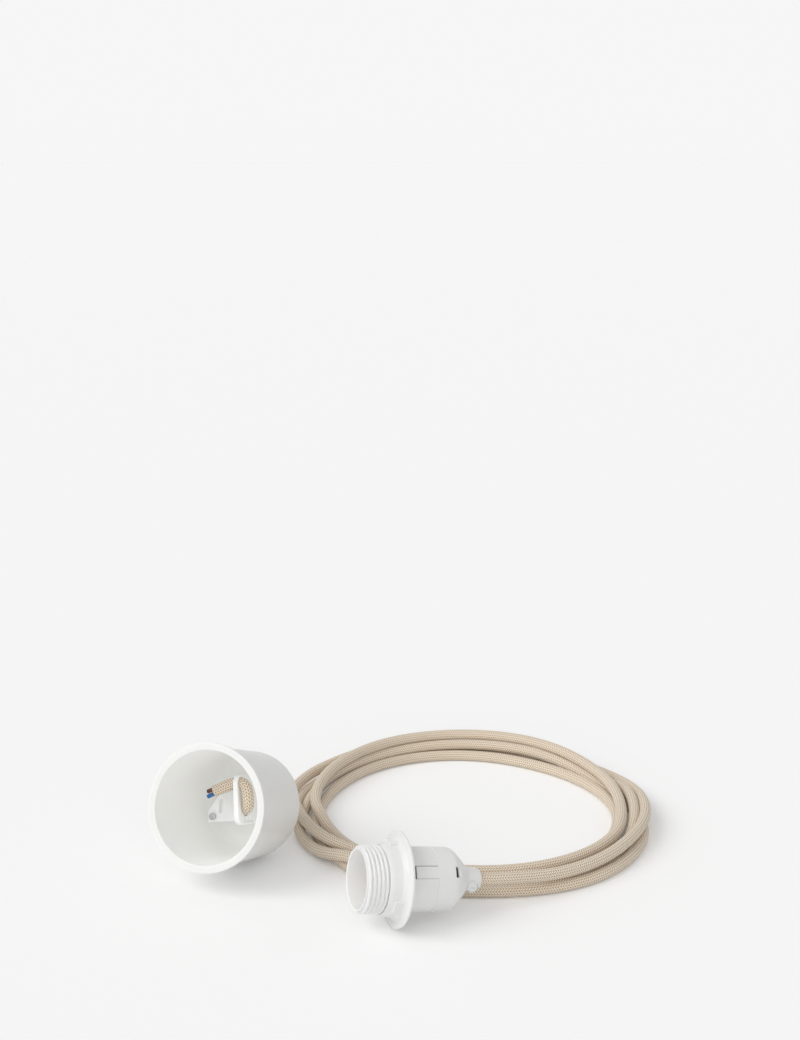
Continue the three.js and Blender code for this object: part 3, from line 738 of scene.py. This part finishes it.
def thread_radius(r, z, angle):
    """Rounded thread on the outside of the skirt, faded in at the mouth."""
    if r < MOUTH_BORE_R + 1 or z > THREAD_END_Z or z < MOUTH_Z + MOUTH_LIP:
        return r
    share = (z - MOUTH_Z - THREAD_START) / THREAD_PITCH - angle / 360
    wave = abs(math.sin(math.pi * share)) ** 0.9
    fade = min(1.0, (z - MOUTH_Z - MOUTH_LIP) / THREAD_FADE, (THREAD_END_Z - z) / THREAD_FADE)
    return THREAD_R - THREAD_DEPTH + THREAD_DEPTH * wave * max(0.0, fade)


def rows_between(z_low, z_high, step, r):
    count = int(round((z_high - z_low) / step))
    return [(r, z_low + (z_high - z_low) * k / count) for k in range(count + 1)]


def carve(piece, tool_data, operation):
    """Cuts or joins a closed mesh, then drops the tool."""
    mesh = bpy.data.meshes.new("tool")
    mesh.from_pydata([tuple(v) for v in tool_data[0]], [], tool_data[1])
    tool = bpy.data.objects.new("tool", mesh)
    bpy.context.scene.collection.objects.link(tool)
    step = piece.modifiers.new("carve", "BOOLEAN")
    step.operation = operation
    step.solver = "EXACT"
    step.object = tool
    graph = bpy.context.evaluated_depsgraph_get()
    result = bpy.data.meshes.new_from_object(piece.evaluated_get(graph))
    piece.modifiers.clear()
    old = piece.data
    piece.data = result
    bpy.data.meshes.remove(old)
    bpy.data.objects.remove(tool)
    bpy.data.meshes.remove(mesh)


def prism(outline, z_low, z_high):
    """A closed prism of an outline in x and y, in millimetres."""
    count = len(outline)
    vertices = [(x, y, z_low) for x, y in outline] + [(x, y, z_high) for x, y in outline]
    faces = [tuple(range(count))[::-1], tuple(range(count, 2 * count))]
    faces += [(k, (k + 1) % count, count + (k + 1) % count, count + k) for k in range(count)]
    return vertices, faces


def wedge(from_deg, to_deg, z_low):
    """A slice from the holder's axis to past the barrel and past the seam."""
    angles = np.radians(np.linspace(from_deg, to_deg, 9))
    arc = [(PAST_R * math.cos(a), PAST_R * math.sin(a)) for a in angles]
    return prism([(0, 0)] + arc, z_low, SEAM_Z + PAST_Z)


tilt = math.radians(HOLDER_TILT)
holder_low = -FLANGE_R * math.cos(tilt) - FLANGE_FACE_Z * math.sin(tilt)
holder_place = Matrix.Translation((*HOLDER_AT, -holder_low * MM)) @ (
    Matrix.Rotation(math.radians(HOLDER_TURN), 4, "Z")
    @ Matrix.Rotation(math.radians(90 + HOLDER_TILT), 4, "Y")
)
thread_root = THREAD_R - THREAD_DEPTH
seat_r = BARREL_R - BARREL_WALL
skirt_profile = (
    rounded([
        (MOUTH_BORE_R, MOUTH_Z, 0.5), (thread_root, MOUTH_Z, 0.5),
        (thread_root, MOUTH_Z + MOUTH_LIP, 0), (MOUTH_BORE_R, MOUTH_Z + MOUTH_LIP, 0),
    ])[:-1]
    + rows_between(MOUTH_Z + 1.0, THREAD_END_Z, 0.2, thread_root)
    + rows_between(THREAD_END_Z + 0.2, SEAM_Z - EDGE_BREAK, 1.5, BARREL_R)
    + [(BARREL_R - EDGE_BREAK, SEAM_Z), (seat_r, SEAM_Z), (seat_r, LEDGE_Z[1]),
       (LEDGE_R, LEDGE_Z[1]), (LEDGE_R, LEDGE_Z[0]), (INNER_BORE_R, INNER_BORE_Z),
       (MOUTH_BORE_R, MOUTH_Z + MOUTH_LIP)]
)
white_holder = moulded_finish("holder_white", 0.3, HOLDER_WHITE)
skirt = mesh_piece(
    "skirt_shell", *turned(skirt_profile, 180, thread_radius), white_holder, sharp=40,
)
mark_inside(skirt)
for window in WINDOWS:
    carve(skirt, wedge(window - WINDOW_SPAN, window, WINDOW_Z), "DIFFERENCE")
lay_down(skirt, holder_place, sharp=40)
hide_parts("threaded_skirt")


# Shade ring
# A moulded ring that screws down the thread and clamps a shade on its flange.
# Three raised pads on its collar give the fingers a hold.
RING_BORE_R = 20.1
RING_END_Z = -11.9
RING_END_FACE = 0.5
RING_COLLAR_R = 22.0
RING_COLLAR_Z = -9.8
COLLAR_TIP_R = 21.4
COLLAR_ROOT = (RING_COLLAR_R + 0.1, -4.6)
FLANGE_FOOT = (24.2, -1.6)
FLANGE_BACK_Z = -1.3
PADS = (-187, -67, 53)
PAD_WIDTH = 9.4
PAD_PROUD = 0.8
PAD_ROOT = 1.0
PAD_SOFT = 0.35
PAD_Z = (-8.5, -1.2)


def pad_block(angle):
    """A raised pad with chamfered edges, in the ring's frame."""
    half = PAD_WIDTH / 2
    low, high = PAD_Z
    top = RING_COLLAR_R + PAD_PROUD
    corners = []
    for r, inset in [(RING_COLLAR_R - PAD_ROOT, 0), (top - PAD_SOFT, 0), (top, PAD_SOFT)]:
        corners += [(r, -half + inset, low + inset), (r, half - inset, low + inset),
                    (r, half - inset, high - inset), (r, -half + inset, high - inset)]
    turn = Matrix.Rotation(math.radians(angle), 3, "Z")
    vertices = [turn @ Vector(c) for c in corners]
    faces = [(3, 2, 1, 0), (8, 9, 10, 11)]
    for layer in (0, 4):
        faces += [
            (layer + k, layer + (k + 1) % 4, layer + 4 + (k + 1) % 4, layer + 4 + k)
            for k in range(4)
        ]
    return vertices, faces


ring_profile = rounded([
    (RING_BORE_R, RING_END_Z, 0), (RING_BORE_R + RING_END_FACE, RING_END_Z, 0.3),
    (COLLAR_TIP_R, RING_COLLAR_Z, 3.0), (*COLLAR_ROOT, 2.5), (*FLANGE_FOOT, 2.5),
    (FLANGE_R, FLANGE_BACK_Z, 0.45), (FLANGE_R, FLANGE_FACE_Z, 0.35),
    (RING_BORE_R, FLANGE_FACE_Z, 0.3),
])
ring = mesh_piece("ring_shell", *turned(ring_profile), white_holder, sharp=40)
for pad in PADS:
    carve(ring, pad_block(pad), "UNION")
lay_down(ring, holder_place, sharp=40)
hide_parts("shade_ring")


# Holder cap
# Upper half of the lamp holder: a domed shell with two latch tongues that snap into
# the skirt, and a neck with a boss for the screw that grips the cord.
CAP_WALL = 1.6
SEAM_GAP = 0.15
CAP_EDGE = 0.4
CAP_STRAIGHT_Z = 23.2
DOME = [(BARREL_R, 24), (18.2, 32), (14.6, 36.5), (11.4, 39.7), (8.6, 42), (7.4, 44.2), (7.1, 47)]
DOME_INSIDE = [(8.6, 38.4), (12.8, 35), (16.4, 31), (BARREL_R - CAP_WALL, 24)]
GRIP_Z = 52.7
BORE_R = 4.15
BORE_Z = (40.4, 48.6)
NECK_END = [(6.9, 48.7, 0), (5.9, 52.1, 1.2), (5.0, GRIP_Z, 0.3)]
TONGUE_Z = 5.1
TONGUE_ROOT = 1.0
TONGUE_SIDE_GAPS = (1.5, 0.5)
BOSS_Z = 45.7
BOSS_ANGLE = -77
BOSS_R = 3.6
BOSS_REACH = 9.2
BOSS_BORE_R = 2.3
SCREW_HEAD_R = 2.9
HEAD_CLEARANCE = 0.25
SEAT_DEPTH = 1.3
POCKET_ANGLE = -126
POCKET_WIDTH = 6.3
POCKET_STEPS = [(11.0, 30.3, 32.7), (16.2, 32.6, 35.0)]
SPOKE_SIDES = 40


def curved(points, step):
    """A smooth outline through (radius, height) points."""
    return [(r, z) for r, _, z in smooth_line([(r, 0, z) for r, z in points], step)]


def spoke(radius, r_low, r_high, soft=0.0):
    """A closed rod on the boss's axis, with a softened outer end."""
    turn = (
        Matrix.Rotation(math.radians(BOSS_ANGLE), 3, "Z")
        @ Matrix.Rotation(math.radians(90), 3, "Y")
    )
    rings = [(radius, r_low), (radius, r_high - soft)]
    if soft:
        rings += [
            (radius - soft * (1 - math.cos(a)), r_high - soft + soft * math.sin(a))
            for a in np.radians((30, 60, 90))
        ]
    vertices = []
    for r, reach in rings:
        for k in range(SPOKE_SIDES):
            a = 2 * math.pi * k / SPOKE_SIDES
            point = Vector((r * math.cos(a), r * math.sin(a), reach))
            vertices.append(turn @ point + Vector((0, 0, BOSS_Z)))
    return vertices, tube_faces(len(rings), SPOKE_SIDES)


def lump(r_low, r_high, width, z_low, z_high, angle):
    """A block that points out from the axis."""
    half = width / 2
    outline = [(r_low, -half), (r_high, -half), (r_high, half), (r_low, half)]
    vertices, faces = prism(outline, z_low, z_high)
    turn = Matrix.Rotation(math.radians(angle), 3, "Z")
    return [turn @ Vector(v) for v in vertices], faces


cap_profile = (
    [(BARREL_R - CAP_WALL, SEAM_Z + SEAM_GAP), (BARREL_R - EDGE_BREAK, SEAM_Z + SEAM_GAP)]
    + rows_between(SEAM_Z + CAP_EDGE, CAP_STRAIGHT_Z, 1.4, BARREL_R)
    + curved(DOME, 0.7)
    + rounded(NECK_END + [(BORE_R, GRIP_Z, 0.3), (BORE_R, BORE_Z[1], 0)])
    + [(BORE_R, BORE_Z[0])] + curved(DOME_INSIDE, 1.5)
)
tongue_top = SEAM_Z + TONGUE_ROOT
tongue_profile = (
    rows_between(TONGUE_Z, tongue_top, 1.4, BARREL_R)
    + rows_between(TONGUE_Z, tongue_top, 4, BARREL_R - CAP_WALL)[::-1]
)
cap = mesh_piece("cap_shell", *turned(cap_profile), white_holder, sharp=40)
for window in WINDOWS:
    tongue = mesh_piece("tongue", *turned(tongue_profile), white_holder)
    low_gap, high_gap = TONGUE_SIDE_GAPS
    carve(tongue, wedge(window - WINDOW_SPAN + low_gap, window - high_gap, 3), "INTERSECT")
    corners = [v.co.copy() for v in tongue.data.vertices]
    tongue_data = corners, [tuple(p.vertices) for p in tongue.data.polygons]
    bpy.data.objects.remove(tongue)
    carve(cap, tongue_data, "UNION")
carve(cap, spoke(BOSS_R, BORE_R + 0.6, BOSS_REACH, soft=0.5), "UNION")
carve(cap, spoke(BOSS_BORE_R, 2.0, BOSS_REACH + 1), "DIFFERENCE")
head_seat = spoke(SCREW_HEAD_R + HEAD_CLEARANCE, BOSS_REACH - SEAT_DEPTH, BOSS_REACH + 1)
carve(cap, head_seat, "DIFFERENCE")
for r_low, z_low, z_high in POCKET_STEPS:
    carve(cap, lump(r_low, 20.0, POCKET_WIDTH, z_low, z_high, POCKET_ANGLE), "DIFFERENCE")
lay_down(cap, holder_place, sharp=35)
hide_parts("holder_cap")


# Grip screw
# A plastic screw in the boss on the neck. It is turned with a coin and presses on the cord.
SCREW_R = 2.0
CORD_CLEARANCE = 0.3
SLOT_WIDTH = 0.6
SLOT_HALF = 1.5
SLOT_DEPTH = 1.0

shank = spoke(SCREW_R, CORD_D / MM / 2 + CORD_CLEARANCE, BOSS_REACH - 1.1)
head = spoke(SCREW_HEAD_R, BOSS_REACH - 1.2, BOSS_REACH - 0.05, soft=0.3)
slot_z = BOSS_Z - SLOT_HALF, BOSS_Z + SLOT_HALF
slot = lump(BOSS_REACH - SLOT_DEPTH, BOSS_REACH + 1, SLOT_WIDTH, *slot_z, BOSS_ANGLE)
grip = mesh_piece("grip_screw_head", *shank, white_holder)
carve(grip, head, "UNION")
carve(grip, slot, "DIFFERENCE")
lay_down(grip, holder_place, sharp=35)
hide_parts("grip_screw")


# Lamp insert
# A heat-proof brown moulding that carries the lamp's contacts, seated on the skirt's ledge.
# A strip of it shows in the latch windows.
INSERT_BROWN = (104, 74, 56)
INSERT_R = 17.1
INSERT_WAIST_R = 15.4
INSERT_BORE_R = 14.3
INSERT_Z = (-3, 17)
INSERT_FLOOR_Z = 12
WAIST_Z = (2, 12.6)
WAIST_SLOPE = 0.6

insert_brown = moulded_finish("insert_brown", 0.35, INSERT_BROWN)
insert = mesh_piece("insert", *turned(rounded([
    (INSERT_BORE_R, INSERT_Z[0], 0.4), (INSERT_R, INSERT_Z[0], 0.4), (INSERT_R, WAIST_Z[0], 0.4),
    (INSERT_WAIST_R, WAIST_Z[0] + WAIST_SLOPE, 0.4), (INSERT_WAIST_R, INSERT_FLOOR_Z, 0.4),
    (INSERT_R, WAIST_Z[1], 0.4), (INSERT_R, INSERT_Z[1], 0.4), (0.4, INSERT_Z[1], 0),
    (0.4, INSERT_FLOOR_Z, 0), (INSERT_BORE_R, INSERT_FLOOR_Z, 0.5),
]), 160), insert_brown)
lay_down(insert, holder_place)
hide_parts("lamp_insert")


# Screw shell
# A thin brass shell with the lamp's round thread rolled into it, 27 mm over its crests.
SHELL_R = 13.6
SHELL_SHEET = 0.38
SHELL_PITCH = 3.63
SHELL_WAVE = 0.35
SHELL_FADE = 1.2
SHELL_Z = (-2.5, 11.7)


def shell_radius(r, z, angle):
    low, high = SHELL_Z
    wave = math.sin(2 * math.pi * ((z - low) / SHELL_PITCH - angle / 360))
    fade = min(1.0, max(0.0, (z - low) / SHELL_FADE), max(0.0, (high - z) / SHELL_FADE))
    return r + (SHELL_WAVE * wave - SHELL_WAVE) * fade


brass = metal_finish(
    "contact_brass", 500.0, linear(196, 160, 86), linear(222, 190, 116), 0.25, 0.2,
)
shell_profile = (
    rows_between(*SHELL_Z, 0.35, SHELL_R + SHELL_SHEET)
    + rows_between(*SHELL_Z, 0.35, SHELL_R)[::-1]
)
shell = mesh_piece("rolled_shell", *turned(shell_profile, 144, shell_radius), brass)
lay_down(shell, holder_place)
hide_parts("screw_shell")


# Contacts, terminals and inner wires
# Pressed brass contact and terminals with steel clamping screws, and the cord's two
# cores, which run down to them inside the cap.
CONTACT_BEVEL = 0.12 * MM
TERMINAL_BEVEL = 0.25 * MM
TERMINAL_SCREW_BEVEL = 0.2 * MM

contact = softened("centre_contact", "contact_leaf", CONTACT_BEVEL, brass)
for side, core in (("brown", brown), ("blue", blue)):
    terminal = softened(f"terminal_{side}", f"terminal_block_{side}", TERMINAL_BEVEL, brass)
    terminal_screw = softened(
        f"terminal_screw_{side}", f"terminal_pin_{side}", TERMINAL_SCREW_BEVEL, steel,
    )
    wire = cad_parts[f"wire_{side}_holder"]
    wire.data.materials.clear()
    wire.data.materials.append(core)


# Floor and light
# A white studio table under soft light from the left and a weaker one from the front.
BACKGROUND = linear(246, 246, 246)
WORLD_LIGHT = 0.55
FLOOR_WHITE = (0.92, 0.92, 0.92, 1)
FLOOR_CORNERS = [(-40, -4, 0), (40, -4, 0), (40, 90, 0), (-40, 90, 0)]


def seen_directly(finish):
    """1 for rays of the camera and of reflections, and 0 for those that light the set."""
    camera_ray = finish.node("ShaderNodeLightPath", output="Is Camera Ray")
    return camera_ray.math("MAXIMUM", camera_ray, camera_ray.beside("Is Glossy Ray"))


def floor_finish():
    finish = Finish(
        "floor_white", Roughness=0.9, Specular_IOR_Level=0.1, Base_Color=FLOOR_WHITE,
        Emission_Strength=0.115,
    )
    return finish.drive(
        Emission_Color=finish.blend(seen_directly(finish), (0, 0, 0), (1, 1, 1)),
    )


floor_mesh = bpy.data.meshes.new("floor")
floor_mesh.from_pydata(FLOOR_CORNERS, [], [(0, 1, 2, 3)])
floor_mesh.materials.append(floor_finish())
floor = bpy.data.objects.new("floor", floor_mesh)
bpy.context.scene.collection.objects.link(floor)

studio = Finish("studio", "Background", bpy.data.worlds, Color=(1, 1, 1, 1))
bpy.context.scene.world = studio.drive(Strength=studio.node(
    "ShaderNodeMapRange", {},
    {"Value": seen_directly(studio), "To Min": WORLD_LIGHT, "To Max": BACKGROUND[0]},
))


def soft_sun(name, towards, softness, strength):
    """Even light from one side of the sky; towards points from the set to the light."""
    data = bpy.data.lights.new(name, "SUN")
    data.angle = math.radians(softness)
    data.energy = strength
    light = bpy.data.objects.new(name, data)
    light.location = towards
    light.rotation_euler = Vector(towards).to_track_quat("Z", "Y").to_euler()
    bpy.context.scene.collection.objects.link(light)


soft_sun("key", towards=(-0.7, -0.3, 0.66), softness=40, strength=1.15)
soft_sun("front", towards=(-0.1, -0.88, 0.46), softness=60, strength=0.52)

bpy.context.scene.view_settings.view_transform = "Standard"
